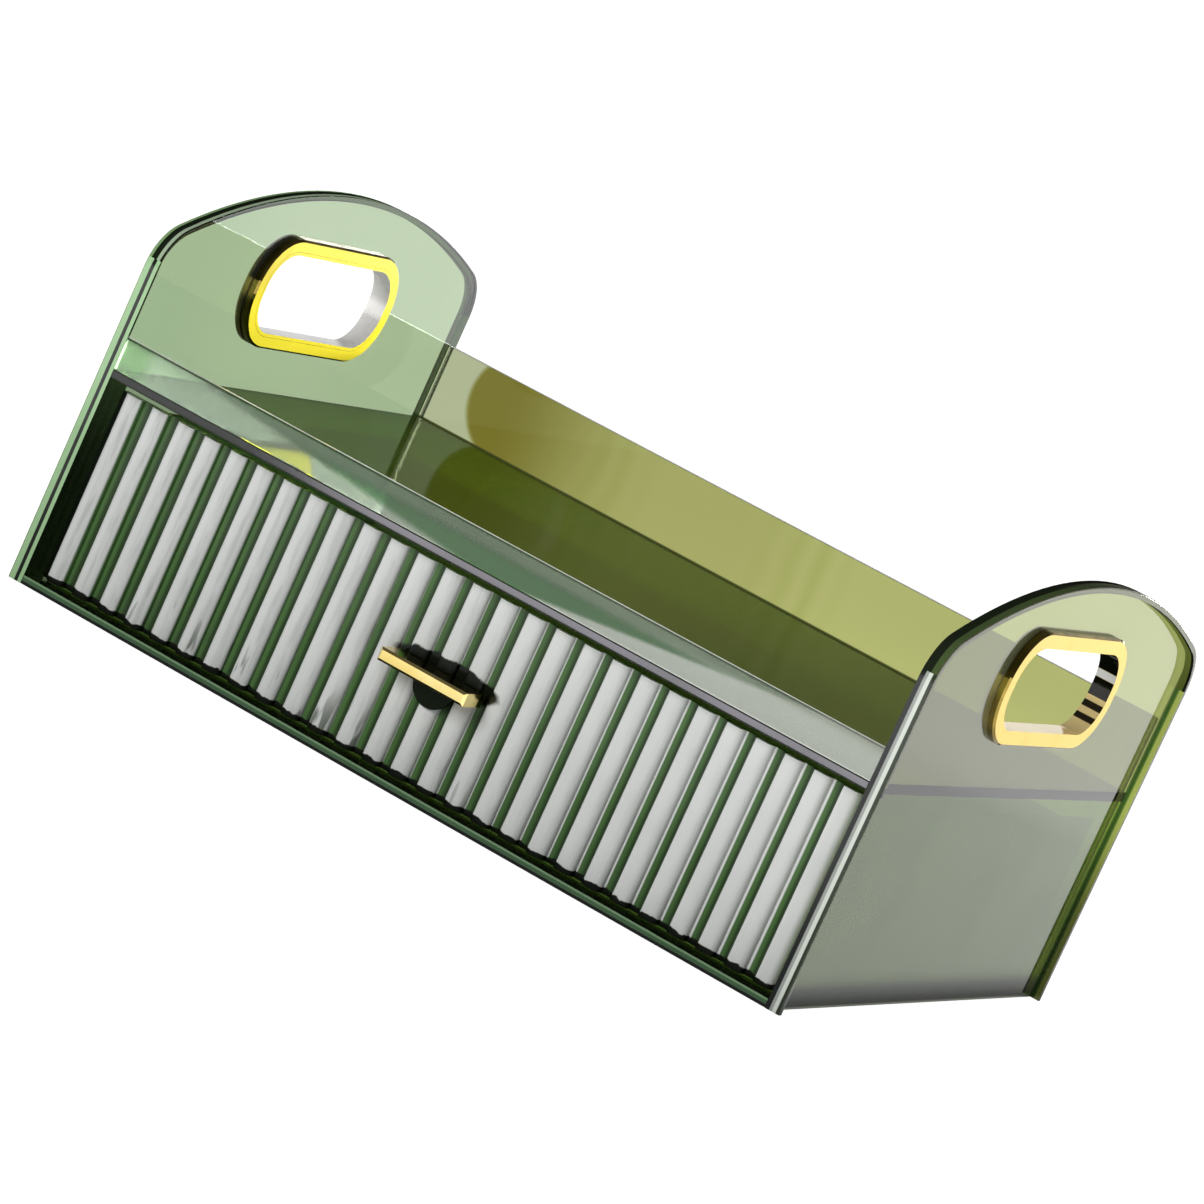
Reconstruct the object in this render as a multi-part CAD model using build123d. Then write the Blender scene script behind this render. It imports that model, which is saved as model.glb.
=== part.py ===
from build123d import *
import os
from math import sqrt

# All sizes are millimetres. X runs along the width, the drawer opens towards -Y, Z is up.
# The origin is the middle of the underside.

# Case
case_width = 300.0
case_depth = 212.0
case_height = 146.0
overrun = 5.0                 # how far every cut runs past the face it opens

# Side panels: a thin sheet with a rim standing outwards along its front, arch and rear edges
sheet = 2.0
rim_depth = 3.2               # how far the rim stands out from the sheet
rim_wall = 2.0
rim_round = 0.5
apex_share = 0.526            # place of the apex along the depth, from the front
shoulder_drop = 26.8          # apex to the level where the arch would meet the front edge
shoulder_radius = 17.0

# Panels between the sides
base_thickness = 3.0
shelf_thickness = 3.0
back_thickness = 3.0
back_inset = 2.5              # rear face of the back panel to the rear edge of the sides
tray_drop = 71.0              # apex to the top of the shelf, which is the tray floor
back_rise = 27.0              # back panel above the tray floor
lip_rise = 11.0               # front lip above the tray floor
lip_thickness = 2.6
lip_round = 0.8

# Gold rings that line the hand holes
ring_length = 92.0
ring_height = 38.6
ring_corner = 17.8
ring_face = 5.3               # width of the gold face around the opening
ring_proud = 2.5              # each half stands this far off the sheet
ring_bevel = 0.7
sleeve_wall = 1.1
sleeve_clearance = 0.1
ring_drop = 36.4              # apex to the middle of the hand hole

# Drawer
front_side_gap = 1.5          # drawer front to side panel
front_top_gap = 3.0           # drawer front to shelf
front_bottom_gap = 0.8        # drawer front to base
front_recess = 6.5            # rib crowns behind the front edges of the case
front_plate = 2.5
rib_count = 27
rib_width = 7.2
rib_rise = 2.2
rib_shoulder = 2.3            # rounded part of a rib on each side of its flat crown
rib_margin = 1.75             # flat strip outside the first and last rib
box_side_gap = 2.0            # drawer side wall to side panel
box_rear_gap = 7.0            # drawer to back panel
box_wall = 2.0
box_top_gap = 8.0             # drawer side walls to shelf
box_back_drop = 4.0           # drawer back below the drawer side walls
box_floor = 2.2
box_floor_lift = 1.2          # drawer floor above the edges that slide on the base
box_round = 0.6

# Pull
pull_length = 33.0
pull_reach = 12.2             # front of the pull to the rib crowns
pull_thickness = 4.4
pull_bevel = 0.8
pull_level_share = 0.525      # height of the pull on the drawer front
seat_depth = 0.5              # flat cut into the rib crowns for the pull
seat_clearance = 0.2
plate_width = 15.0
plate_neck = 0.5              # straight part of the backing plate above its half round
plate_thickness = 1.6

# Sizes that follow
side_edge = sheet + rim_depth
inner_x = case_width / 2 - side_edge
front_y = -case_depth / 2
rear_y = case_depth / 2
apex_y = front_y + apex_share * case_depth
arch_radius = ((apex_y - front_y) ** 2 + shoulder_drop ** 2) / (2 * shoulder_drop)
arch_centre = case_height - arch_radius
back_rear_y = rear_y - back_inset
back_front_y = back_rear_y - back_thickness
tray_level = case_height - tray_drop
shelf_under = tray_level - shelf_thickness
ring_level = case_height - ring_drop
hole_length = ring_length - 2 * ring_face
hole_height = ring_height - 2 * ring_face
hole_corner = ring_corner - ring_face

crown_y = front_y + front_recess
plate_front_y = crown_y + rib_rise
plate_rear_y = plate_front_y + front_plate
front_half = inner_x - front_side_gap
front_low = base_thickness + front_bottom_gap
front_high = shelf_under - front_top_gap
rib_pitch = (2 * front_half - 2 * rib_margin - rib_width) / (rib_count - 1)

box_half = inner_x - box_side_gap
box_rear_y = back_front_y - box_rear_gap
box_high = shelf_under - box_top_gap
floor_low = base_thickness + box_floor_lift

pull_level = front_low + pull_level_share * (front_high - front_low)
seat_y = crown_y + seat_depth
pull_front_y = crown_y - pull_reach


def block(low, high):
    """Box between two opposite corners."""
    size = [b - a for a, b in zip(low, high)]
    return Pos(*low) * Box(*size, align=(Align.MIN, Align.MIN, Align.MIN))


def shoulder(reach, inset):
    """Round corner between the arch and an upright edge that stands reach from the apex."""
    out = reach - shoulder_radius
    up = sqrt((arch_radius - shoulder_radius) ** 2 - out ** 2)
    lean = Vector(out, up).normalized()
    level = Vector(1, 0)
    middle = (lean + level).normalized()
    return [Vector(out, arch_centre + up) + way * (shoulder_radius - inset) for way in (level, middle, lean)]


def arch_face(inset, foot):
    """Side outline on the YZ plane, offset inwards by inset, standing on the level foot."""
    front = [(apex_y - p.X, p.Y) for p in shoulder(apex_y - front_y, inset)]
    rear = [(apex_y + p.X, p.Y) for p in shoulder(rear_y - apex_y, inset)]
    front_foot = (front[0][0], foot)
    rear_foot = (rear[0][0], foot)
    edges = [
        Line(front_foot, front[0]),
        ThreePointArc(*front),
        ThreePointArc(front[2], (apex_y, case_height - inset), rear[2]),
        ThreePointArc(*reversed(rear)),
        Line(rear[0], rear_foot),
        Line(rear_foot, front_foot),
    ]
    return Plane.YZ * make_face(edges)


def hole_face(grow):
    """Hand hole outline on the YZ plane, grown outwards by grow."""
    outline = RectangleRounded(hole_length + 2 * grow, hole_height + 2 * grow, hole_corner + grow)
    return Plane.YZ * Pos(0, ring_level) * outline


def slab(face, x_low, x_high):
    """Extrude a YZ face between two levels of X."""
    return extrude(Pos(x_low, 0, 0) * face, x_high - x_low, dir=(1, 0, 0))


def right_side_panel():
    sheet_x = inner_x + sheet
    body = slab(arch_face(0, 0), inner_x, case_width / 2)
    rim_edges = body.faces().sort_by(Axis.X)[-1].edges().filter_by(lambda e: e.center().Z > sheet)
    body = fillet(rim_edges, rim_round)
    body -= slab(arch_face(rim_wall, -overrun), sheet_x, case_width / 2 + overrun)
    body -= slab(hole_face(sleeve_wall + sleeve_clearance), inner_x - overrun, case_width / 2 + overrun)
    return body


def right_ring_outer():
    """Flange on the outer face of the sheet with the sleeve that lines the hole."""
    sheet_x = inner_x + sheet
    ring_x = inner_x - ring_proud
    flange = slab(hole_face(ring_face), sheet_x, sheet_x + ring_proud)
    flange = chamfer(flange.faces().sort_by(Axis.X)[-1].edges(), ring_bevel)
    sleeve = slab(hole_face(sleeve_wall), ring_x, sheet_x)
    return flange + sleeve - slab(hole_face(0), ring_x - overrun, case_width / 2 + overrun)


def right_ring_inner():
    """Flange on the inner face of the sheet, pushed over the sleeve."""
    ring_x = inner_x - ring_proud
    flange = slab(hole_face(ring_face), ring_x, inner_x)
    flange = chamfer(flange.faces().sort_by(Axis.X)[0].edges(), ring_bevel)
    return flange - slab(hole_face(sleeve_wall + sleeve_clearance), ring_x - overrun, inner_x + overrun)


def base_panel():
    return block((-inner_x, front_y, 0), (inner_x, back_rear_y, base_thickness))


def back_panel():
    return block((-inner_x, back_front_y, base_thickness), (inner_x, back_rear_y, tray_level + back_rise))


def shelf_panel():
    return block((-inner_x, front_y, shelf_under), (inner_x, back_front_y, tray_level))


def front_lip():
    lip_rear_y = front_y + lip_thickness
    strip = block((-inner_x, front_y, tray_level), (inner_x, lip_rear_y, tray_level + lip_rise))
    return fillet(strip.faces().sort_by(Axis.Z)[-1].edges().filter_by(Axis.X), lip_round)


def pull_outline(grow):
    """Footprint of the pull and its backing plate on the drawer front, grown outwards by grow."""
    bar = Pos(0, pull_level) * Rectangle(pull_length + 2 * grow, pull_thickness + 2 * grow)
    return bar + plate_outline(grow)


def plate_outline(grow):
    """Half-round backing plate below the pull, grown outwards by grow."""
    radius = plate_width / 2 + grow
    top = pull_level - pull_thickness / 2
    turn = top - plate_neck
    edges = [
        Line((-radius, top), (-radius, turn)),
        ThreePointArc((-radius, turn), (0, turn - radius), (radius, turn)),
        Line((radius, turn), (radius, top)),
        Line((radius, top), (-radius, top)),
    ]
    return make_face(edges)


def on_front(sketch, y_low, y_high):
    """Extrude a sketch drawn in X and Z between two levels of Y."""
    plane = Plane((0, y_high, 0), x_dir=(1, 0, 0), z_dir=(0, -1, 0))
    return extrude(plane * sketch, y_high - y_low)


def drawer_front():
    """Plate with flat-topped, round-shouldered upright ribs, drawn as one section and raised."""
    starts = [-front_half + rib_margin + rib_pitch * i for i in range(rib_count)]
    edges = [Line((-front_half, plate_rear_y), (-front_half, plate_front_y))]
    last = (-front_half, plate_front_y)
    for start in starts:
        root = (start, plate_front_y)
        end = (start + rib_width, plate_front_y)
        crown_from = (start + rib_shoulder, crown_y)
        crown_to = (start + rib_width - rib_shoulder, crown_y)
        edges.append(Line(last, root))
        edges.append(TangentArc(crown_from, root, tangent=(-1, 0)))
        edges.append(Line(crown_from, crown_to))
        edges.append(TangentArc(crown_to, end, tangent=(1, 0)))
        last = end
    edges.append(Line(last, (front_half, plate_front_y)))
    edges.append(Line((front_half, plate_front_y), (front_half, plate_rear_y)))
    edges.append(Line((front_half, plate_rear_y), (-front_half, plate_rear_y)))
    body = extrude(Pos(0, 0, front_low) * make_face(edges), front_high - front_low)
    return body - on_front(pull_outline(seat_clearance), crown_y - overrun, seat_y)


def drawer_right_side():
    wall = block((box_half - box_wall, plate_rear_y, base_thickness), (box_half, box_rear_y, box_high))
    return fillet(wall.faces().sort_by(Axis.Z)[-1].edges().filter_by(Axis.Y), box_round)


def drawer_back():
    low = (-box_half + box_wall, box_rear_y - box_wall, base_thickness)
    high = (box_half - box_wall, box_rear_y, box_high - box_back_drop)
    wall = block(low, high)
    return fillet(wall.faces().sort_by(Axis.Z)[-1].edges().filter_by(Axis.X), box_round)


def drawer_bottom():
    low = (-box_half + box_wall, plate_rear_y, floor_low)
    high = (box_half - box_wall, box_rear_y - box_wall, floor_low + box_floor)
    return block(low, high)


def pull_bar():
    bar = on_front(Pos(0, pull_level) * Rectangle(pull_length, pull_thickness), pull_front_y, seat_y)
    return chamfer(bar.faces().sort_by(Axis.Y)[0].edges(), pull_bevel)


def pull_plate():
    return on_front(plate_outline(0), seat_y - plate_thickness, seat_y)


def mirrored(part):
    return mirror(part, about=Plane.YZ)


nodes = {
    "right_side_panel": right_side_panel(),
    "right_ring_outer": right_ring_outer(),
    "right_ring_inner": right_ring_inner(),
    "base_panel": base_panel(),
    "back_panel": back_panel(),
    "shelf_panel": shelf_panel(),
    "front_lip": front_lip(),
    "drawer_front": drawer_front(),
    "drawer_right_side": drawer_right_side(),
    "drawer_back": drawer_back(),
    "drawer_bottom": drawer_bottom(),
    "pull_bar": pull_bar(),
    "pull_plate": pull_plate(),
}
for name in ("right_side_panel", "right_ring_outer", "right_ring_inner", "drawer_right_side"):
    nodes[name.replace("right", "left")] = mirrored(nodes[name])

os.makedirs("parts", exist_ok=True)
for name, part in nodes.items():
    export_step(part, f"parts/{name}.step")
    box = part.bounding_box()
    print(f"{name:20s} volume {part.volume:10.1f}  low {box.min}  high {box.max}")
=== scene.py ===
from math import radians

import bpy
from mathutils import Matrix, Vector


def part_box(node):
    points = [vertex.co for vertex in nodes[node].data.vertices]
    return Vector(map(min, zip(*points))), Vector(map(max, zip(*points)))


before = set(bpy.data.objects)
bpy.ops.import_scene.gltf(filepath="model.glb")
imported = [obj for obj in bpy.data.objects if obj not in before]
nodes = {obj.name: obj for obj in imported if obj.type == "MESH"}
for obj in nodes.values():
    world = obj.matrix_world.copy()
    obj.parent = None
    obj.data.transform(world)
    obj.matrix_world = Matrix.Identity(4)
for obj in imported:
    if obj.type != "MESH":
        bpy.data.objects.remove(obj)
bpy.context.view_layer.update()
scene = bpy.context.scene
print("frame loaded:", len(nodes), "nodes")

plasticBend = 1.49  # index of refraction of clear plastic
farOut = 0.2  # past every face of the organizer, in metres
hairline = 0.0002  # soft side of a painted line


# node helpers

def addNode(tree, kind, **settings):
    node = tree.nodes.new(kind)
    for name, value in settings.items():
        setattr(node, name, value)
    return node


def setInputs(node, **values):
    for name, value in values.items():
        node.inputs[name.replace("_", " ")].default_value = value
    return node


def feed(tree, socket, value):  # a link or a plain value
    if isinstance(value, bpy.types.NodeSocket):
        tree.links.new(value, socket)
    else:
        socket.default_value = value


def mathNode(tree, operation, first, second=0.0):
    node = addNode(tree, "ShaderNodeMath", operation=operation)
    feed(tree, node.inputs[0], first)
    feed(tree, node.inputs[1], second)
    return node.outputs["Value"]


def times(tree, first, second):
    return mathNode(tree, "MULTIPLY", first, second)


def minus(tree, first, second):
    return mathNode(tree, "SUBTRACT", first, second)


def larger(tree, first, second):
    return mathNode(tree, "MAXIMUM", first, second)


def mixColours(tree, factor, low, high):
    node = addNode(tree, "ShaderNodeMix", data_type="RGBA")
    for place, value in ((0, factor), (6, low), (7, high)):
        feed(tree, node.inputs[place], value)
    return node.outputs[2]


def mapRange(tree, value, fromLow, fromHigh, toLow=0.0, toHigh=1.0, smooth=True):
    node = addNode(tree, "ShaderNodeMapRange", interpolation_type="SMOOTHSTEP" if smooth else "LINEAR")
    ends = {"Value": value, "From Min": fromLow, "From Max": fromHigh, "To Min": toLow, "To Max": toHigh}
    for name, number in ends.items():
        feed(tree, node.inputs[name], number)
    return node.outputs["Result"]


def noiseAt(tree, place, scale, detail=2.0, roughness=0.5):
    node = setInputs(addNode(tree, "ShaderNodeTexNoise"), Detail=detail, Roughness=roughness)
    feed(tree, node.inputs["Vector"], place)
    feed(tree, node.inputs["Scale"], scale)
    return node.outputs["Fac"]


def lengthOf(tree, vector):
    node = addNode(tree, "ShaderNodeVectorMath", operation="LENGTH")
    tree.links.new(vector, node.inputs[0])
    return node.outputs["Value"]


def objectPlace(tree):
    return addNode(tree, "ShaderNodeTexCoord").outputs["Object"]


def axisValue(tree, axis):
    apart = addNode(tree, "ShaderNodeSeparateXYZ")
    tree.links.new(objectPlace(tree), apart.inputs[0])
    return apart.outputs[axis]


def newGroup(name, inputs, outputs):
    group = bpy.data.node_groups.new(name, "ShaderNodeTree")
    for label, kind, value in inputs:
        group.interface.new_socket(label, in_out="INPUT", socket_type=kind).default_value = value
    for label, kind in outputs:
        group.interface.new_socket(label, in_out="OUTPUT", socket_type=kind)
    return group, addNode(group, "NodeGroupInput").outputs, addNode(group, "NodeGroupOutput").inputs


def placeGroup(tree, group, **values):
    return setInputs(addNode(tree, "ShaderNodeGroup", node_tree=group), **values)


# effects shared by several finishes

def makeTintDrift():  # slow change of tint across a moulded sheet
    group, given, out = newGroup("tintDrift",
        [("Tint", "NodeSocketColor", (1, 1, 1, 1)), ("Deep", "NodeSocketColor", (0.8, 0.8, 0.8, 1)),
         ("Patch Scale", "NodeSocketFloat", 12.0), ("Drift", "NodeSocketFloat", 0.5)],
        [("Color", "NodeSocketColor")])
    patch = mapRange(group, noiseAt(group, objectPlace(group), given["Patch Scale"], detail=3.0), 0.35, 0.65)
    share = times(group, patch, given["Drift"])
    group.links.new(mixColours(group, share, given["Tint"], given["Deep"]), out["Color"])
    return group


def makeMouldWaves():  # soft unevenness of a moulded face, with a fine orange peel on it
    group, given, out = newGroup("mouldWaves",
        [("Wave Scale", "NodeSocketFloat", 14.0), ("Peel Scale", "NodeSocketFloat", 260.0),
         ("Peel Share", "NodeSocketFloat", 0.004)],
        [("Height", "NodeSocketFloat")])
    place = objectPlace(group)
    wave = noiseAt(group, place, given["Wave Scale"], detail=1.0)
    peel = times(group, noiseAt(group, place, given["Peel Scale"], detail=1.0), given["Peel Share"])
    group.links.new(mathNode(group, "ADD", wave, peel), out["Height"])
    return group


def makeHandMarks():  # faint smudges that dull the polish
    group, given, out = newGroup("handMarks",
        [("Clean", "NodeSocketFloat", 0.03), ("Marked", "NodeSocketFloat", 0.12),
         ("Mark Scale", "NodeSocketFloat", 30.0)],
        [("Roughness", "NodeSocketFloat")])
    smudge = noiseAt(group, objectPlace(group), given["Mark Scale"], detail=4.0, roughness=0.62)
    dull = times(group, mapRange(group, smudge, 0.52, 0.72), minus(group, given["Marked"], given["Clean"]))
    group.links.new(mathNode(group, "ADD", dull, given["Clean"]), out["Roughness"])
    return group


def makeZoneBand():  # 1 between Low and High of a value, with soft sides
    group, given, out = newGroup("zoneBand",
        [("Value", "NodeSocketFloat", 0.0), ("Low", "NodeSocketFloat", 0.0), ("High", "NodeSocketFloat", 1.0),
         ("Soft", "NodeSocketFloat", hairline)],
        [("Mask", "NodeSocketFloat")])
    start = minus(group, given["Low"], given["Soft"])
    stop = mathNode(group, "ADD", given["High"], given["Soft"])
    rise = mapRange(group, given["Value"], start, given["Low"])
    fall = mapRange(group, given["Value"], given["High"], stop, 1.0, 0.0)
    group.links.new(times(group, rise, fall), out["Mask"])
    return group


ribRow = {"halfWidth": 0.1433, "crownSheenSoft": 0.0005, "lineStart": 0.0027, "lineFull": 0.0013,
          "dipRise": (0.0026, 0.0044), "dipFall": (0.0061, 0.0050), "dipLeft": 0.85, "dipRight": 0.15}


def makeRibStripes():  # painted reflection that pales the crown of each rib, the painted shadow line in the groove and a greyer painted shade streak on the rib
    group, given, out = newGroup("ribStripes",
        [("First", "NodeSocketFloat", -0.14155), ("Pitch", "NodeSocketFloat", 0.010611),
         ("Lean", "NodeSocketFloat", 0.0011), ("Narrow", "NodeSocketFloat", 0.0063),
         ("Wide", "NodeSocketFloat", 0.0069)],
        [("CrownSheen", "NodeSocketFloat"), ("Line", "NodeSocketFloat"), ("Shade", "NodeSocketFloat")])
    along = axisValue(group, "X")
    share = mapRange(group, along, -ribRow["halfWidth"], ribRow["halfWidth"], smooth=False)
    lean = times(group, share, given["Lean"])
    offset = minus(group, minus(group, along, given["First"]), lean)
    cell = mathNode(group, "FLOORED_MODULO", offset, given["Pitch"])
    spread = minus(group, given["Wide"], given["Narrow"])
    crown = mathNode(group, "ADD", times(group, share, spread), given["Narrow"])
    crownEnd = mathNode(group, "ADD", crown, ribRow["crownSheenSoft"])
    group.links.new(mapRange(group, cell, crownEnd, crown), out["CrownSheen"])
    start = minus(group, given["Pitch"], ribRow["lineStart"])
    full = minus(group, given["Pitch"], ribRow["lineFull"])
    group.links.new(mapRange(group, cell, start, full), out["Line"])
    dip = times(group, mapRange(group, cell, *ribRow["dipRise"]), mapRange(group, cell, *ribRow["dipFall"]))
    strength = mapRange(group, share, 0.0, 1.0, ribRow["dipLeft"], ribRow["dipRight"])
    group.links.new(times(group, dip, strength), out["Shade"])
    return group


tintDrift = makeTintDrift()
mouldWaves = makeMouldWaves()
handMarks = makeHandMarks()
zoneBand = makeZoneBand()
ribStripes = makeRibStripes()
print("shared effects built")


# finishes: a tint that drifts, smudges and moulded waves, with painted zones over them

def newMaterial(name, **shaderValues):
    material = bpy.data.materials.new(name)
    material.use_nodes = True
    shader = setInputs(material.node_tree.nodes["Principled BSDF"], **shaderValues)
    return material, material.node_tree, shader


def makeFinish(name, look, **shaderValues):
    material, tree, shader = newMaterial(name, **shaderValues)
    tint = placeGroup(tree, tintDrift, Tint=look["tint"], Deep=look["deep"], Patch_Scale=look.get("patch", 12.0))
    tree.links.new(tint.outputs["Color"], shader.inputs["Base Color"])
    clean, marked = look["rough"]
    marks = placeGroup(tree, handMarks, Clean=clean, Marked=marked, Mark_Scale=look.get("marks", 30.0))
    tree.links.new(marks.outputs["Roughness"], shader.inputs["Roughness"])
    bump = setInputs(addNode(tree, "ShaderNodeBump"), Distance=look["wave"], Strength=1.0)
    tree.links.new(placeGroup(tree, mouldWaves).outputs["Height"], bump.inputs["Height"])
    tree.links.new(bump.outputs["Normal"], shader.inputs["Normal"])
    return material, tree, shader


def bandAlong(tree, value, low, high, soft=hairline):
    band = placeGroup(tree, zoneBand, Low=low, High=high, Soft=soft)
    tree.links.new(value, band.inputs["Value"])
    return band.outputs["Mask"]


def layColour(tree, shader, mask, colour):  # another colour over the base colour where the mask is 1
    under = shader.inputs["Base Color"].links[0].from_socket
    tree.links.new(mixColours(tree, mask, under, colour), shader.inputs["Base Color"])


def paintBands(tree, shader, value, bands):  # each band: low, high, colour and, unless a hairline, its soft side
    for low, high, colour, *soft in bands:
        layColour(tree, shader, bandAlong(tree, value, low, high, *soft), colour)


def makeClearSheet(name, look):  # light loses colour along its way through the plastic, so edges go dark
    material, tree, shader = makeFinish(name, look, IOR=look.get("bend", plasticBend),
                                        Transmission_Weight=look["clear"],
                                        Specular_IOR_Level=look.get("shine", 0.5))
    soak = setInputs(addNode(tree, "ShaderNodeVolumeAbsorption"), Color=look["soak"], Density=look["depth"])
    tree.links.new(soak.outputs["Volume"], tree.nodes["Material Output"].inputs["Volume"])
    return material, tree, shader


# left side panel: painted shade deeper at the front and at the rear edge, and painted shade on the inner face at
# the mouth of the drawer bay

leftPanel = {
    "soak": (0.40, 0.515, 0.295, 1), "depth": 900, "clear": 0.96,
    "tint": (0.98, 1.0, 0.98, 1), "deep": (0.92, 0.96, 0.91, 1), "rough": (0.015, 0.05), "wave": 0.0001,
    "innerFace": -0.1455,
    "shadeRun": (-0.02, -0.09), "shade": (0.75, 0.83, 0.79, 1),
    "rearStart": 0.1000, "rearEdge": (0.22, 0.42, 0.16, 1),
    "mouthBack": -0.0940, "mouthTop": 0.0745, "lineBack": -0.1050, "mouthDark": (0.003, 0.006, 0.002, 1),
}


def makeLeftPanel(look):
    material, tree, shader = makeClearSheet("leftGreen", look)
    deep, high = axisValue(tree, "Y"), axisValue(tree, "Z")
    inside = bandAlong(tree, axisValue(tree, "X"), look["innerFace"], 0.0)
    # painted shade on the inner face: deeper towards the front and along the rear edge
    layColour(tree, shader, times(tree, inside, mapRange(tree, deep, *look["shadeRun"])), look["shade"])
    layColour(tree, shader, times(tree, inside, bandAlong(tree, deep, look["rearStart"], farOut)), look["rearEdge"])
    # painted shade: nearly black at the mouth of the drawer bay and in a line along the front edge
    ahead = bandAlong(tree, deep, -farOut, look["mouthBack"])
    mouth = times(tree, ahead, bandAlong(tree, high, 0.0, look["mouthTop"]))
    line = larger(tree, mouth, bandAlong(tree, deep, -farOut, look["lineBack"]))
    layColour(tree, shader, times(tree, inside, line), look["mouthDark"])
    return material


# right side panel: hazy with painted reflected light and clouded beside the drawer, dark where the shelf and the
# base are glued on, with painted shade along the rear edge

rightPanel = {
    "soak": (0.44, 0.47, 0.18, 1), "depth": 900, "clear": 0.90, "bend": 1.43,
    "tint": (0.92, 0.97, 0.54, 1), "deep": (0.87, 0.92, 0.48, 1), "rough": (0.015, 0.05), "wave": 0.00005,
    "hazeSpan": (-0.01, 0.0715), "reflectedHaze": (0.59, 0.86, 0.21, 1),
    "cloudScale": 26.0, "cloudEdge": (0.42, 0.66), "cloudSpan": (0.010, 0.0700, 0.01), "cloudShare": 0.45,
    "cloud": (0.40, 0.70, 0.12, 1),
    "seams": ((0.0718, 0.0750, (0.05, 0.05, 0.05, 1)), (-0.01, 0.0055, (0.33, 0.38, 0.30, 1), 0.004)),
    "rearStart": 0.1043, "rearEdge": (0.05, 0.08, 0.03, 1),
}


def makeRightPanel(look):
    material, tree, shader = makeClearSheet("rightGreen", look)
    high = axisValue(tree, "Z")
    # painted reflection: a green haze beside the drawer
    layColour(tree, shader, bandAlong(tree, high, *look["hazeSpan"]), look["reflectedHaze"])
    cloud = noiseAt(tree, objectPlace(tree), look["cloudScale"], detail=1.5)
    patches = times(tree, mapRange(tree, cloud, *look["cloudEdge"]), bandAlong(tree, high, *look["cloudSpan"]))
    layColour(tree, shader, times(tree, patches, look["cloudShare"]), look["cloud"])
    paintBands(tree, shader, high, look["seams"])
    # painted shade along the rear edge
    layColour(tree, shader, bandAlong(tree, axisValue(tree, "Y"), look["rearStart"], farOut), look["rearEdge"])
    return material


# back panel: painted reflections that give faint upright ripples, a mint left end and a brown shade beside it, and
# the glue line on the shelf

backPanel = {
    "soak": (0.525, 0.545, 0.40, 1), "depth": 900, "clear": 1.0,
    "tint": (0.98, 0.98, 0.53, 1), "deep": (0.92, 0.92, 0.48, 1), "rough": (0.02, 0.06), "wave": 0.0001,
    "rippleScale": 31.0, "rippleBend": 3.0, "rippleSpan": (-0.068, 0.012, 0.02), "rippleShare": 0.42,
    "rippleReflection": (0.66, 0.70, 0.21, 1),
    "mintRun": (-0.112, -0.128), "mintReflection": (0.94, 0.98, 0.90, 1),
    "middle": ((-0.045, -0.02, (0.84, 0.82, 0.42, 1), 0.05),),
    "brownEnd": -0.110, "brownReach": 0.09, "brownLevel": 0.0925, "brownEdge": (0.0212, 0.0196),
    "brownFade": (-0.045, -0.118), "brownReflection": (0.41, 0.355, 0.08, 1),
    "glueLine": ((0.0740, 0.0752, (0.10, 0.11, 0.05, 1), 0.0004),),
}


def makeBackPanel(look):
    material, tree, shader = makeClearSheet("backGreen", look)
    along, high = axisValue(tree, "X"), axisValue(tree, "Z")
    # painted reflection of faint upright ripples
    waves = setInputs(addNode(tree, "ShaderNodeTexWave", bands_direction="X"), Scale=look["rippleScale"],
                      Distortion=look["rippleBend"], Detail=1.0)
    tree.links.new(objectPlace(tree), waves.inputs["Vector"])
    rippleReflections = times(tree, waves.outputs["Fac"], bandAlong(tree, along, *look["rippleSpan"]))
    layColour(tree, shader, times(tree, rippleReflections, look["rippleShare"]), look["rippleReflection"])
    offset = addNode(tree, "ShaderNodeCombineXYZ")  # from the rounded left end of the brown painted reflection
    pastEnd = mapRange(tree, along, look["brownEnd"] - look["brownReach"], look["brownEnd"],
                       -look["brownReach"], 0.0, smooth=False)
    tree.links.new(pastEnd, offset.inputs["X"])
    tree.links.new(minus(tree, high, look["brownLevel"]), offset.inputs["Z"])
    rounded = mapRange(tree, lengthOf(tree, offset.outputs[0]), *look["brownEdge"])
    brownReflection = times(tree, rounded, mapRange(tree, along, *look["brownFade"]))
    # painted reflections: a mint left end and a brown shade beside it
    layColour(tree, shader, mapRange(tree, along, *look["mintRun"]), look["mintReflection"])
    paintBands(tree, shader, along, look["middle"])
    layColour(tree, shader, brownReflection, look["brownReflection"])
    paintBands(tree, shader, high, look["glueLine"])
    return material


# base panel, shaded in front of the drawer

basePanel = {
    "soak": (0.45, 0.52, 0.15, 1), "depth": 900, "clear": 0.80,
    "tint": (0.60, 0.82, 0.50, 1), "deep": (0.52, 0.76, 0.44, 1), "rough": (0.02, 0.08), "wave": 0.0001,
    "mouthBack": -0.0955, "mouthDark": (0.012, 0.018, 0.010, 1),
}


def makeBasePanel(look):
    material, tree, shader = makeClearSheet("baseGreen", look)
    layColour(tree, shader, bandAlong(tree, axisValue(tree, "Y"), -farOut, look["mouthBack"]), look["mouthDark"])
    return material


# shelf panel: painted shade darker to the right, and it sags a little behind the lip

shelfPanel = {
    "soak": (0.42, 0.52, 0.08, 1), "depth": 500, "clear": 0.86, "bend": 1.14,
    "tint": (0.42, 0.68, 0.05, 1), "deep": (0.36, 0.60, 0.04, 1), "rough": (0.05, 0.09), "wave": 0.00005,
    "shadeRun": (-0.02, 0.09), "shade": (0.16, 0.34, 0.01, 1),
    "sagSpan": (-0.04, 0.02, 0.10), "sagDepth": 0.009,
}


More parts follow.
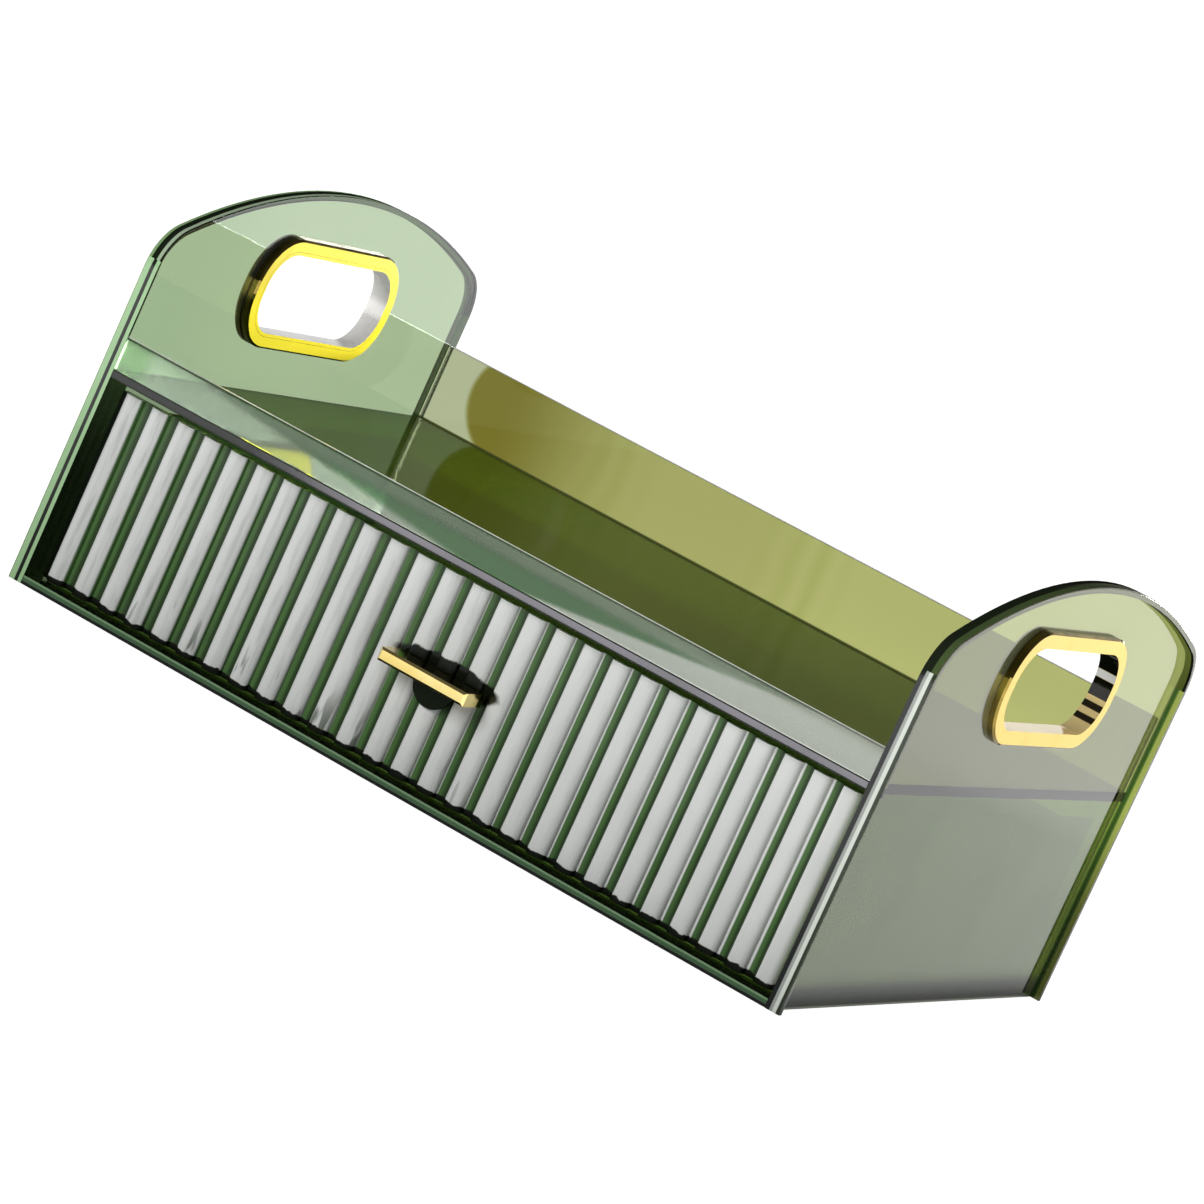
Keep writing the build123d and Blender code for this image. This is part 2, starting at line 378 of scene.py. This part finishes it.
def makeShelfPanel(look):
    material, tree, shader = makeClearSheet("shelfGreen", look)
    along = axisValue(tree, "X")
    # painted shade, darker to the right
    layColour(tree, shader, mapRange(tree, along, *look["shadeRun"]), look["shade"])
    sag = times(tree, bandAlong(tree, along, *look["sagSpan"]), axisValue(tree, "Y"))
    bump = setInputs(addNode(tree, "ShaderNodeBump"), Distance=look["sagDepth"], Strength=1.0)
    tree.links.new(times(tree, sag, -1.0), bump.inputs["Height"])
    tree.links.new(shader.inputs["Normal"].links[0].from_socket, bump.inputs["Normal"])
    tree.links.new(bump.outputs["Normal"], shader.inputs["Normal"])
    return material


# front lip: a painted reflection, paler towards the right with a slanting green zone in the middle, and a green
# left end of painted shade

frontLip = {
    "soak": (0.30, 0.62, 0.34, 1), "depth": 40, "clear": 0.88,
    "tint": (0.48, 0.58, 0.45, 1), "deep": (0.43, 0.54, 0.40, 1), "rough": (0.015, 0.05), "wave": 0.00003,
    "paleRun": (-0.10, 0.10), "pale": (0.98, 1.0, 0.93, 1),
    "zoneLevel": 0.0765, "zoneSlant": 9.5, "zoneLeft": (-0.040, -0.015), "zoneRight": (0.042, 0.026),
    "zoneFade": (0.0805, 0.0835, 1.0, 0.55), "zone": (0.09, 0.27, 0.08, 1),
    "endRun": (-0.130, -0.138), "end": (0.26, 0.42, 0.22, 1),
}


def makeFrontLip(look):
    material, tree, shader = makeClearSheet("lipGreen", look)
    along, high = axisValue(tree, "X"), axisValue(tree, "Z")
    # painted reflection: paler to the right, with a slanting dark green zone
    layColour(tree, shader, mapRange(tree, along, *look["paleRun"]), look["pale"])
    slant = times(tree, minus(tree, high, look["zoneLevel"]), look["zoneSlant"])
    zone = times(tree, mapRange(tree, mathNode(tree, "ADD", along, slant), *look["zoneLeft"]),
                 mapRange(tree, minus(tree, along, slant), *look["zoneRight"]))
    layColour(tree, shader, times(tree, zone, mapRange(tree, high, *look["zoneFade"])), look["zone"])
    # painted shade at the left end
    layColour(tree, shader, mapRange(tree, along, *look["endRun"]), look["end"])
    return material


# rims of the side panels: painted shade, a dark line in the corner and deep green at the rear of the left one

sideRim = {
    "soak": (0.45, 0.50, 0.16, 1), "depth": 900, "clear": 1.0, "bend": 1.3,
    "tint": (0.50, 0.54, 0.22, 1), "deep": (0.38, 0.42, 0.15, 1), "rough": (0.02, 0.06), "wave": 0.0001,
    "corner": ((0.1460, 0.1477, (0.05, 0.12, 0.03, 1)),),
    "leftOne": ((-farOut, 0.0, (0.10, 0.20, 0.06, 1)),),
}


def makeSideRim(look):
    material, tree, shader = makeClearSheet("rimGreen", look)
    side = axisValue(tree, "X")
    # painted shade in the corner and on the left rim
    paintBands(tree, shader, mathNode(tree, "ABSOLUTE", side), look["corner"])
    paintBands(tree, shader, side, look["leftOne"])
    return material


# arches of the side panels: opaque dark green as painted shade, with painted shade lines and a pale painted
# highlight line along them, nearly black painted shade at the front of the right one and olive painted shade at its
# rear

sideArch = {
    "soak": (0.40, 0.50, 0.20, 1), "depth": 500, "clear": 0.0, "shine": 0.0,
    "tint": (0.20, 0.32, 0.15, 1), "deep": (0.14, 0.24, 0.10, 1), "rough": (0.3, 0.4), "wave": 0.00005,
    "lines": ((-0.1486, 0.0, (0.008, 0.012, 0.006, 1)), (-0.1466, -0.1456, (0.30, 0.38, 0.26, 1)),
              (0.0, farOut, (0.10, 0.11, 0.07, 1)), (0.0, 0.1466, (0.006, 0.008, 0.005, 1)),
              (0.1491, farOut, (0.008, 0.010, 0.006, 1))),
    "aheadSpan": (-farOut, -0.045, 0.06), "ahead": (0.012, 0.016, 0.009, 1),
    "aheadOuter": 0.1478, "aheadGreen": (0.055, 0.085, 0.030, 1),
    "behindSpan": (0.070, farOut, 0.02), "behindOuter": 0.1489, "behind": (0.15, 0.19, 0.04, 1),
}


def makeSideArch(look):
    material, tree, shader = makeClearSheet("archGreen", look)
    side, deep = axisValue(tree, "X"), axisValue(tree, "Y")
    # painted shade lines and a painted highlight line along the arch
    paintBands(tree, shader, side, look["lines"])
    # painted shade, nearly black, at the front of the right arch
    ahead = times(tree, bandAlong(tree, deep, *look["aheadSpan"]), bandAlong(tree, side, 0.0, farOut))
    layColour(tree, shader, ahead, look["ahead"])
    outer = bandAlong(tree, side, look["aheadOuter"], farOut)
    layColour(tree, shader, times(tree, ahead, outer), look["aheadGreen"])
    # painted shade, olive, at the rear of the right arch
    behind = bandAlong(tree, deep, *look["behindSpan"])
    layColour(tree, shader, times(tree, behind, bandAlong(tree, side, 0.0, look["behindOuter"])), look["behind"])
    return material


# drawer box, milky

drawerBox = {
    "soak": (0.40, 0.60, 0.35, 1), "depth": 600, "clear": 0.65,
    "tint": (0.62, 0.80, 0.55, 1), "deep": (0.54, 0.74, 0.48, 1), "rough": (0.20, 0.32), "wave": 0.0001,
}

leftGreen = makeLeftPanel(leftPanel)
rightGreen = makeRightPanel(rightPanel)
backGreen = makeBackPanel(backPanel)
baseGreen = makeBasePanel(basePanel)
shelfGreen = makeShelfPanel(shelfPanel)
lipGreen = makeFrontLip(frontLip)
rimGreen = makeSideRim(sideRim)
archGreen = makeSideArch(sideArch)
drawerGreen = makeClearSheet("drawerGreen", drawerBox)[0]
print("clear plastic built")


# duller moulded front edges of the side panels, the lip, the shelf and the base

edgeGrain = {"wave": 0.00005, "patch": 30.0}
# dark line along a glued seam, also used as painted shade where an edge meets no seam
seamAndShadeDark = (0.006, 0.008, 0.006, 1)
sidePanelEdge = {  # a grey stripe and a white painted highlight stripe between painted shade lines on the right, a darker green painted shade strip and one painted shade line on the left
    "tint": (0.33, 0.53, 0.28, 1), "deep": (0.27, 0.46, 0.23, 1), "rough": (0.22, 0.4), "across": "X",
    "stripes": ((0.1, farOut, (0.30, 0.32, 0.30, 1)), (0.1475, farOut, (0.60, 0.64, 0.57, 1)),
                (0.1, 0.1463, (0.008, 0.010, 0.008, 1)), (0.1488, farOut, (0.020, 0.030, 0.015, 1)),
                (-farOut, -0.1496, (0.16, 0.24, 0.10, 1)), (-0.1474, -0.1463, (0.006, 0.009, 0.005, 1))),
}
lipTop = {"tint": (0.62, 0.68, 0.56, 1), "deep": (0.50, 0.57, 0.44, 1), "rough": (0.2, 0.3)}
shelfFront = {  # painted shade darker to the left, between two dark lines: a glued seam above and painted shade below
    "tint": (0.21, 0.20, 0.225, 1), "deep": (0.16, 0.16, 0.17, 1), "rough": (0.22, 0.4), "across": "Z",
    "shadeRun": (-0.03, -0.10), "shade": (0.010, 0.014, 0.010, 1),
    "stripes": ((0.0, 0.0725, seamAndShadeDark), (0.0746, 0.1, seamAndShadeDark)),
}
baseFront = {  # a painted shade line below, where the base stands on the floor, and a green one above
    "tint": (0.06, 0.125, 0.06, 1), "deep": (0.035, 0.08, 0.035, 1), "rough": (0.15, 0.3), "across": "Z",
    "stripes": ((-0.01, 0.0010, seamAndShadeDark), (0.0024, 0.1, (0.17, 0.29, 0.15, 1))),
}


def makeEdge(name, look):
    material, tree, shader = makeFinish(name, {**edgeGrain, **look}, IOR=plasticBend)
    # painted shade along the edge, then stripes of seam lines, painted shade and painted highlights
    if "shade" in look:
        layColour(tree, shader, mapRange(tree, axisValue(tree, "X"), *look["shadeRun"]), look["shade"])
    if "stripes" in look:
        paintBands(tree, shader, axisValue(tree, look["across"]), look["stripes"])
    return material


sideEdge = makeEdge("sideEdge", sidePanelEdge)
lipEdge = makeEdge("lipEdge", lipTop)
shelfEdge = makeEdge("shelfEdge", shelfFront)
baseEdge = makeEdge("baseEdge", baseFront)


# gold plating on the rings and the pull, pale as a painted highlight inside the left hand hole

platingGrain = {"wave": 0.0001, "patch": 60.0, "marks": 120.0}
ringFace = {  # painted shade makes it duller gold towards the top, painted light makes the right one paler gold
    "tint": (1.0, 0.86, 0.03, 1), "deep": (0.96, 0.80, 0.02, 1), "rough": (0.46, 0.54),
    "upperRun": (0.100, 0.118), "upper": (0.64, 0.53, 0.055, 1), "rightOne": (0.74, 0.56, 0.16, 1),
}
# dark patches on the outer walls are painted reflections of dark surroundings
ringWall = {"tint": (0.34, 0.25, 0.06, 1), "deep": (0.015, 0.012, 0.006, 1), "rough": (0.05, 0.12), "patch": 90.0}
# silver-white in the left hole: a painted highlight
leftBore = {"tint": (0.90, 0.89, 0.86, 1), "deep": (0.78, 0.77, 0.74, 1), "rough": (0.25, 0.35), "metal": 0.25}
rightBore = {  # dark and bright reflections round the rear end of the opening
    "tint": (0.92, 0.74, 0.36, 1), "deep": (0.80, 0.60, 0.24, 1), "rough": (0.1, 0.18), "metal": 0.4,
    "rearSpan": (0.020, farOut, 0.004),
    "bands": ((0.1165, farOut, (0.004, 0.004, 0.003, 1)), (0.1075, 0.1135, (0.006, 0.005, 0.003, 1)),
              (0.1035, 0.1055, (0.02, 0.015, 0.006, 1)), (0.0995, 0.1012, (0.02, 0.015, 0.006, 1)),
              (0.1138, 0.1162, (0.95, 0.95, 0.93, 1))),
}
pullBar = {"tint": (1.0, 0.82, 0.34, 1), "deep": (0.86, 0.62, 0.12, 1), "rough": (0.05, 0.12)}


def makePlating(name, look):
    return makeFinish(name, {**platingGrain, **look}, Metallic=look.get("metal", 1.0))


def makeRingFace(look):
    material, tree, shader = makePlating("goldFace", look)
    # painted shade towards the top, painted light on the right ring
    layColour(tree, shader, mapRange(tree, axisValue(tree, "Z"), *look["upperRun"]), look["upper"])
    layColour(tree, shader, bandAlong(tree, axisValue(tree, "X"), 0.0, farOut), look["rightOne"])
    return material


def makeRightBore(look):
    material, tree, shader = makePlating("goldBore", look)
    high = axisValue(tree, "Z")
    rear = bandAlong(tree, axisValue(tree, "Y"), *look["rearSpan"])
    for low, top, colour in look["bands"]:
        layColour(tree, shader, times(tree, rear, bandAlong(tree, high, low, top)), colour)
    return material


goldFace = makeRingFace(ringFace)
goldWall = makePlating("goldWall", ringWall)[0]
paleWall = makePlating("paleWall", leftBore)[0]
goldBore = makeRightBore(rightBore)
goldBar = makePlating("goldBar", pullBar)[0]
print("edges and plating built")


# drawer front: ribs made pale by painted reflection on a green plate darkened by painted shade, and the dark plate
# of the pull

# pale crowns: painted reflection of white light
ribCrowns = {"tint": (0.665, 0.68, 0.66, 1), "deep": (0.60, 0.615, 0.60, 1), "rough": (0.3, 0.45),
             "wave": 0.0001, "patch": 40.0, "shine": 0.25}
# opaque green plate, dark as painted shade of the drawer behind it
plateGreen = {"tint": (0.070, 0.155, 0.045, 1), "deep": (0.042, 0.095, 0.028, 1), "rough": (0.10, 0.2),
              "wave": 0.0001, "patch": 25.0, "shine": 0.2}
pullPlate = {"tint": (0.006, 0.012, 0.004, 1), "deep": (0.004, 0.007, 0.003, 1), "rough": (0.2, 0.3),
             "wave": 0.00005, "patch": 120.0, "shine": 0.1}
frontMarks = {
    "plateFace": -0.0969, "innerSide": -0.0955,
    # painted shadow line in each groove
    "groove": (0.025, 0.050, 0.018, 1),
    "streakStretch": (1.0, 1.0, 0.16), "streakScale": 520.0, "streakShare": (0.35, 0.65, 0.2, 0.75),
    # painted shade streaks on the ribs
    "streakShade": (0.36, 0.375, 0.36, 1),
    # painted shade on the left margin
    "marginEnd": -0.1408, "margin": (0.006, 0.010, 0.005, 1),
    # painted dark reflections near the foot of the ribs
    "footReflectionScale": 300.0, "footReflectionEdge": (0.60, 0.66), "footReflectionRun": (0.024, 0.006), "footReflectionSpan": (-0.09, 0.0, 0.04),
    "footReflectionShare": 0.8, "footReflection": (0.06, 0.08, 0.05, 1),
    "unevenScale": 260.0, "uneven": 0.0026,
    # painted shade at the foot of the ribs
    "footSpan": (-0.01, 0.0041, 0.0004), "foot": (0.004, 0.006, 0.003, 1),
    # painted shadow round the pull
    "pullMiddle": 0.0015, "pullLevel": 0.0386, "pullHalf": (0.0205, 0.0048), "pullEdge": (1.05, 0.9),
    "pullShade": (0.004, 0.006, 0.003, 1),
}


def makeFront(name, look):
    return makeFinish(name, look, IOR=plasticBend, Specular_IOR_Level=look["shine"])


def stretchedNoise(tree, scale):  # drawn out along the ribs
    stretched = addNode(tree, "ShaderNodeVectorMath", operation="MULTIPLY")
    feed(tree, stretched.inputs[0], objectPlace(tree))
    feed(tree, stretched.inputs[1], frontMarks["streakStretch"])
    return noiseAt(tree, stretched.outputs[0], scale)


def paintRibs(tree, shader, marks, onCrowns):  # painted reflection on the crowns, green grooves with a painted shadow line, and grey painted shade streaks
    stripes = placeGroup(tree, ribStripes).outputs
    ahead = bandAlong(tree, axisValue(tree, "Y"), -farOut, marks["plateFace"])
    crownSheen = times(tree, stripes["CrownSheen"], ahead)
    if onCrowns:
        layColour(tree, shader, minus(tree, 1.0, crownSheen), plateGreen["tint"])
    else:
        layColour(tree, shader, crownSheen, ribCrowns["tint"])
    layColour(tree, shader, times(tree, stripes["Line"], ahead), marks["groove"])
    shadeBreakup = mapRange(tree, stretchedNoise(tree, marks["streakScale"]), *marks["streakShare"])
    layColour(tree, shader, times(tree, times(tree, stripes["Shade"], ahead), shadeBreakup), marks["streakShade"])


def paintShade(tree, shader, marks):  # painted shade on the left margin and at the foot, painted dark reflections near the foot, and the pull's painted shadow, all off the inner face
    along, deep, high = (axisValue(tree, axis) for axis in "XYZ")
    outer = bandAlong(tree, deep, -farOut, marks["innerSide"])
    margin = bandAlong(tree, along, -farOut, marks["marginEnd"])
    layColour(tree, shader, times(tree, margin, outer), marks["margin"])
    footReflection = mapRange(tree, stretchedNoise(tree, marks["footReflectionScale"]), *marks["footReflectionEdge"])
    lower = times(tree, mapRange(tree, high, *marks["footReflectionRun"]), bandAlong(tree, along, *marks["footReflectionSpan"]))
    footReflections = times(tree, times(tree, footReflection, lower), times(tree, outer, marks["footReflectionShare"]))
    layColour(tree, shader, footReflections, marks["footReflection"])
    uneven = times(tree, noiseAt(tree, objectPlace(tree), marks["unevenScale"]), marks["uneven"])
    foot = bandAlong(tree, minus(tree, high, uneven), *marks["footSpan"])
    layColour(tree, shader, times(tree, foot, outer), marks["foot"])
    spot = addNode(tree, "ShaderNodeCombineXYZ")
    halfWidth, halfHeight = marks["pullHalf"]
    across = minus(tree, along, marks["pullMiddle"])
    rise = minus(tree, minus(tree, high, marks["pullLevel"]), uneven)
    tree.links.new(mathNode(tree, "DIVIDE", across, halfWidth), spot.inputs["X"])
    tree.links.new(mathNode(tree, "DIVIDE", rise, halfHeight), spot.inputs["Z"])
    shade = mapRange(tree, lengthOf(tree, spot.outputs[0]), *marks["pullEdge"])
    layColour(tree, shader, times(tree, shade, outer), marks["pullShade"])


def makeRibbed(name, look, onCrowns):
    material, tree, shader = makeFront(name, look)
    paintRibs(tree, shader, frontMarks, onCrowns)
    paintShade(tree, shader, frontMarks)
    return material


ribSheen = makeRibbed("ribSheen", ribCrowns, True)
frontGreen = makeRibbed("frontGreen", plateGreen, False)
pullDark = makeFront("pullDark", pullPlate)[0]
print("drawer front built")


# finishes on the pieces, first the one that covers most of each

finishes = {
    "left_side_panel": (leftGreen, rimGreen, sideEdge, archGreen),
    "right_side_panel": (rightGreen, rimGreen, sideEdge, archGreen),
    "back_panel": (backGreen,), "base_panel": (baseGreen, baseEdge), "shelf_panel": (shelfGreen, shelfEdge),
    "front_lip": (lipGreen, lipEdge), "drawer_front": (frontGreen, ribSheen),
    "drawer_left_side": (drawerGreen,), "drawer_right_side": (drawerGreen,), "drawer_back": (drawerGreen,),
    "drawer_bottom": (drawerGreen,), "pull_bar": (goldBar,), "pull_plate": (pullDark,),
    "left_ring_inner": (goldFace, goldWall, paleWall), "left_ring_outer": (goldFace, goldWall, paleWall),
    "right_ring_inner": (goldFace, goldWall, goldBore), "right_ring_outer": (goldFace, goldWall, goldBore),
}
for name, materials in finishes.items():
    mesh = nodes[name].data
    mesh.materials.clear()
    for material in materials:
        mesh.materials.append(material)

faceRules = {"square": 0.9, "boreDepth": 0.002, "ribRise": 0.0022, "ribSlack": 0.00005, "ribTurn": 0.05,
             "frontTurn": 0.7, "frontEdge": -0.1055, "rimTurn": 0.3, "archLevel": 0.08}


def chooseSlots(name, slotOf, *others):
    for face in nodes[name].data.polygons:
        face.material_index = slotOf(face, *others)


def ringSlot(face, middle):  # flat face, bore or outer wall
    inward = face.normal.dot(middle - face.center)
    return 0 if abs(face.normal.x) > faceRules["square"] else 2 if inward > faceRules["boreDepth"] else 1


def ribSlot(face, plateFace):
    ahead = face.center.y < plateFace - faceRules["ribSlack"]
    return 1 if ahead and face.normal.y < -faceRules["ribTurn"] else 0


def frontSlot(face):
    return 1 if face.normal.y < -faceRules["square"] else 0


def topSlot(face):
    return 1 if face.normal.z > faceRules["square"] else 0


def sideSlot(face):
    onFront = face.normal.y < -faceRules["frontTurn"] and face.center.y < faceRules["frontEdge"]
    onRim = abs(face.normal.x) < faceRules["rimTurn"]
    onArch = onRim and face.center.z > faceRules["archLevel"]
    return 2 if onFront else 3 if onArch else 1 if onRim else 0


for name in ("left_ring_inner", "left_ring_outer", "right_ring_inner", "right_ring_outer"):
    ringLow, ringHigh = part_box(name)
    chooseSlots(name, ringSlot, (ringLow + ringHigh) / 2)
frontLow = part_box("drawer_front")[0]
chooseSlots("drawer_front", ribSlot, frontLow.y + faceRules["ribRise"])
chooseSlots("shelf_panel", frontSlot)
chooseSlots("base_panel", frontSlot)
chooseSlots("front_lip", topSlot)
chooseSlots("left_side_panel", sideSlot)
chooseSlots("right_side_panel", sideSlot)

softEdge = {"weld": 0.000002, "gap": 0.00004, "round": 0.0003, "segments": 2, "angle": 40}
softPieces = ("left_side_panel", "right_side_panel", "back_panel", "base_panel", "shelf_panel", "front_lip",
              "drawer_left_side", "drawer_right_side", "drawer_back", "drawer_bottom")


def softenEdges(node):  # hair gaps at the seams and rounded edges that catch light
    weld = node.modifiers.new("weld", "WELD")
    weld.merge_threshold = softEdge["weld"]
    gap = node.modifiers.new("gap", "DISPLACE")
    gap.strength, gap.mid_level = -softEdge["gap"], 0.0
    bevel = node.modifiers.new("bevel", "BEVEL")
    bevel.width, bevel.segments = softEdge["round"], softEdge["segments"]
    bevel.limit_method, bevel.angle_limit = "ANGLE", radians(softEdge["angle"])
    node.modifiers.new("normals", "WEIGHTED_NORMAL").keep_sharp = False


for name in softPieces:
    softenEdges(nodes[name])
print("finishes assigned")


# floor, light and camera

table = {
    "size": 60.0, "level": -0.0004, "paper": (0.3, 0.3, 0.3, 1), "rough": 0.9, "shine": 0.1, "white": (1, 1, 1, 1),
    "nearGlow": (0.10, 0.10, 0.10, 1), "farGlow": (1.65, 1.65, 1.65, 1), "farRun": (0.26, 0.62),
    "rightRun": (0.145, 0.170, 0.0, 0.68), "aheadRun": (-0.22, -0.34, 0.0, 0.60),
    "belowX": (-0.146, 0.146, 0.004), "belowY": (-0.10, 0.10, 0.004), "belowShare": 0.7,
}


def makeFloor():  # white to the camera; for other light it is shaded round the case
    half, level = table["size"] / 2, table["level"]
    mesh = bpy.data.meshes.new("floor")
    corners = [(-half, -half, level), (half, -half, level), (half, half, level), (-half, half, level)]
    mesh.from_pydata(corners, [], [(0, 1, 2, 3)])
    floor = bpy.data.objects.new("floor", mesh)
    scene.collection.objects.link(floor)
    material, tree, shader = newMaterial("floorPaper", Base_Color=table["paper"], Roughness=table["rough"],
                                         Specular_IOR_Level=table["shine"])
    along, deep = axisValue(tree, "X"), axisValue(tree, "Y")
    far = mapRange(tree, lengthOf(tree, objectPlace(tree)), *table["farRun"])
    right = mapRange(tree, along, *table["rightRun"])
    ahead = mapRange(tree, deep, *table["aheadRun"])
    below = times(tree, bandAlong(tree, along, *table["belowX"]), bandAlong(tree, deep, *table["belowY"]))
    around = larger(tree, far, larger(tree, right, ahead))
    bright = larger(tree, around, times(tree, below, table["belowShare"]))
    glow = mixColours(tree, bright, table["nearGlow"], table["farGlow"])
    seen = addNode(tree, "ShaderNodeLightPath").outputs["Is Camera Ray"]
    tree.links.new(mixColours(tree, seen, glow, table["white"]), shader.inputs["Emission Color"])
    shader.inputs["Emission Strength"].default_value = 1.0
    mesh.materials.append(material)


sky = {"dark": (0.10, 0.10, 0.10, 1), "bright": (1.0, 1.0, 1.0, 1), "lowRun": (0.55, 0.25), "behindRun": (0.1, 0.6)}


def makeSky():  # bright only low down behind the case
    scene.world = bpy.data.worlds.new("studioSky")
    scene.world.use_nodes = True
    tree = scene.world.node_tree
    way = addNode(tree, "ShaderNodeSeparateXYZ")
    tree.links.new(addNode(tree, "ShaderNodeTexCoord").outputs["Generated"], way.inputs[0])
    low = mapRange(tree, way.outputs["Z"], *sky["lowRun"])
    behind = mapRange(tree, way.outputs["Y"], *sky["behindRun"])
    back = tree.nodes["Background"]
    tree.links.new(mixColours(tree, times(tree, low, behind), sky["dark"], sky["bright"]), back.inputs["Color"])
    back.inputs["Strength"].default_value = 1.0


lamps = {
    "topBox": {"place": (-0.2, -0.2, 1.9), "aim": (0, 0, 0.05), "size": (0.8, 0.8), "power": 6},
    "frontBox": {"place": (-0.55, -2.0, 1.0), "aim": (0, -0.1, 0.03), "size": (0.9, 0.9), "power": 32},
    "rearBox": {"place": (0.15, 0.56, 0.18), "aim": (-0.145, 0, 0.10), "size": (0.3, 0.06), "power": 1.7,
                "mirrored": True},
}


def turnTo(place, aim):
    return (Vector(aim) - Vector(place)).to_track_quat("-Z", "Y")


def makeLamps():
    for name, lamp in lamps.items():
        data = bpy.data.lights.new(name, "AREA")
        data.shape = "RECTANGLE"
        data.size, data.size_y = lamp["size"]
        data.energy = lamp["power"]
        light = bpy.data.objects.new(name, data)
        light.location = lamp["place"]
        light.rotation_euler = turnTo(lamp["place"], lamp["aim"]).to_euler()
        light.visible_glossy = lamp.get("mirrored", False)  # fill lamps leave no shapes in the polish
        light.visible_camera = light.visible_transmission = False
        scene.collection.objects.link(light)


photoView = {"place": (0.74424, -1.65498, 0.35091), "aim": (-0.00488, -0.00221, 0.06601), "roll": 24.465,
             "lens": 170.87, "sensor": 36.0, "reach": 200.0}


def makeCamera():
    data = bpy.data.cameras.new("photoCamera")
    data.sensor_width, data.lens, data.clip_end = photoView["sensor"], photoView["lens"], photoView["reach"]
    camera = bpy.data.objects.new("photoCamera", data)
    turn = turnTo(photoView["place"], photoView["aim"]).to_matrix().to_4x4()
    roll = Matrix.Rotation(radians(photoView["roll"]), 4, "Z")
    camera.matrix_world = Matrix.Translation(photoView["place"]) @ turn @ roll
    scene.collection.objects.link(camera)
    scene.camera = camera


makeFloor()
makeSky()
makeLamps()
makeCamera()
scene.view_settings.view_transform = "Standard"
sheetBounces = 24  # light crosses many clear sheets
scene.cycles.max_bounces = scene.cycles.transmission_bounces = sheetBounces
print("studio ready")
